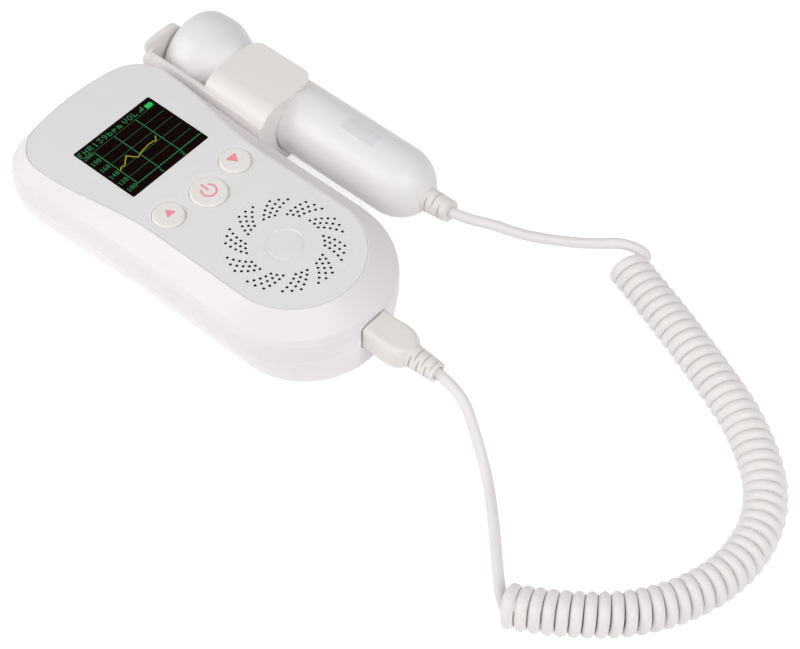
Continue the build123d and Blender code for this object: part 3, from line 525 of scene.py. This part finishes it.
def cords():
    """Curly cord with its lead to the probe as one piece, and the short lead to the plug."""
    centre = spline_points("coil_line", coil_route)
    turns = helix(centre, (coil_diameter - cord_diameter) / 2, coil_pitch, coil_end_phase)
    first, last = turns[0], turns[-1]
    start_way = (turns[1] - turns[0]).normalized()
    end_way = (turns[-1] - turns[-2]).normalized()
    to_probe = probe_lead_route + [tuple(last + lead_rise * end_way), tuple(last)]
    probe_line = spline_points("probe_lead_line", to_probe)
    path = probe_line + turns[::-1]
    curly, path = tube("curly_cord_visual", path, cord_diameter, cord_white)
    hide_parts("curly_cord", "probe_lead")
    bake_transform(curly)
    before = first - plug_lead_before * start_way
    inside = first + plug_lead_overlap * start_way
    to_plug = plug_lead_route + [(before.x, before.y, cord_diameter / 2), tuple(inside)]
    plug_line = spline_points("plug_lead_line", to_plug)
    lead, path = tube("plug_lead_visual", plug_line, cord_diameter, cord_white)
    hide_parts("plug_lead")
    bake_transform(lead)


# ---------------------------------------------------------------- studio
def white_background(tree):
    """Factor that is 1 where the camera, a reflection or a clear part sees the background."""
    nodes, links = tree.nodes, tree.links
    path = nodes.new("ShaderNodeLightPath")
    seen = path.outputs["Is Camera Ray"]
    for ray in ("Is Glossy Ray", "Is Transmission Ray"):
        either = nodes.new("ShaderNodeMath")
        either.operation = "MAXIMUM"
        links.new(seen, either.inputs[0])
        links.new(path.outputs[ray], either.inputs[1])
        seen = either.outputs["Value"]
    return seen


def white_world(strength=0.3):
    """Soft white sky, seen as full white."""
    world = bpy.data.worlds.new("studio")
    bpy.context.scene.world = world
    world.use_nodes = True
    nodes, links = world.node_tree.nodes, world.node_tree.links
    sky = nodes["Background"]
    sky.inputs["Color"].default_value = (1.0, 1.0, 1.0, 1.0)
    sky.inputs["Strength"].default_value = strength
    bright = nodes.new("ShaderNodeBackground")
    bright.inputs["Color"].default_value = (1.0, 1.0, 1.0, 1.0)
    mix = nodes.new("ShaderNodeMixShader")
    links.new(white_background(world.node_tree), mix.inputs["Fac"])
    links.new(sky.outputs["Background"], mix.inputs[1])
    links.new(bright.outputs["Background"], mix.inputs[2])
    links.new(mix.outputs["Shader"], nodes["World Output"].inputs["Surface"])


def pale_floor(half_side=1.2, drop=0.0001, pale=0.92, glow=0.62):
    """Floor just under the part, in metres, that glows enough to look white but keeps the part's shadow."""
    material = bpy.data.materials.new("floor_white")
    material.use_nodes = True
    nodes, links = material.node_tree.nodes, material.node_tree.links
    shader = nodes["Principled BSDF"]
    shader.inputs["Base Color"].default_value = (pale, pale, pale, 1.0)
    shader.inputs["Roughness"].default_value = 0.9
    shader.inputs["Specular IOR Level"].default_value = 0.1
    lift = nodes.new("ShaderNodeMath")
    lift.operation = "MULTIPLY"
    lift.inputs[1].default_value = glow
    links.new(white_background(material.node_tree), lift.inputs[0])
    links.new(lift.outputs["Value"], shader.inputs["Emission Strength"])
    shader.inputs["Emission Color"].default_value = (1.0, 1.0, 1.0, 1.0)
    mesh = bpy.data.meshes.new("floor")
    around = [(-1, -1), (1, -1), (1, 1), (-1, 1)]
    mesh.from_pydata([(x * half_side, y * half_side, -drop) for x, y in around], [], [(0, 1, 2, 3)])
    mesh.materials.append(material)
    floor = put_in_scene("floor", mesh)


def lamps(size=0.7, aim_at=(0.02, -0.06, 0.01)):
    """Three broad soft lamps, placed in metres."""
    for name, place, power in (
        ("back_left", (-0.585, 0.595, 0.463), 3.7),
        ("front", (-0.179, -0.657, 0.787), 4.4),
        ("high_left", (-0.535, -0.262, 0.817), 0.7),
    ):
        lamp = bpy.data.lights.new(name, "AREA")
        lamp.shape = "SQUARE"
        lamp.size = size
        lamp.energy = power
        light = put_in_scene(name, lamp)
        light.location = place
        aim = Vector(aim_at) - light.location
        light.rotation_euler = aim.to_track_quat("-Z", "Y").to_euler()


def view():
    """Camera from which the photo was taken, found by fitting the unit to it."""
    data = bpy.data.cameras.new("camera")
    data.lens = 89.88
    data.sensor_width = 36.0
    camera = put_in_scene("camera", data)
    right = Vector((0.64636208, -0.76283132, 0.01744794))
    down = Vector((-0.59915711, -0.52157125, -0.60743245))
    forward = Vector((0.47246885, 0.38216725, -0.79417969))
    turn = Matrix((right, -down, -forward)).transposed()
    camera.matrix_world = Matrix.Translation((-0.291916, -0.316810, 0.519871)) @ turn.to_4x4()
    bpy.context.scene.camera = camera
    bpy.context.scene.view_settings.view_transform = "Standard"


white_world()
pale_floor()
lamps()
view()
cords()
display()
icons()
label_plate()
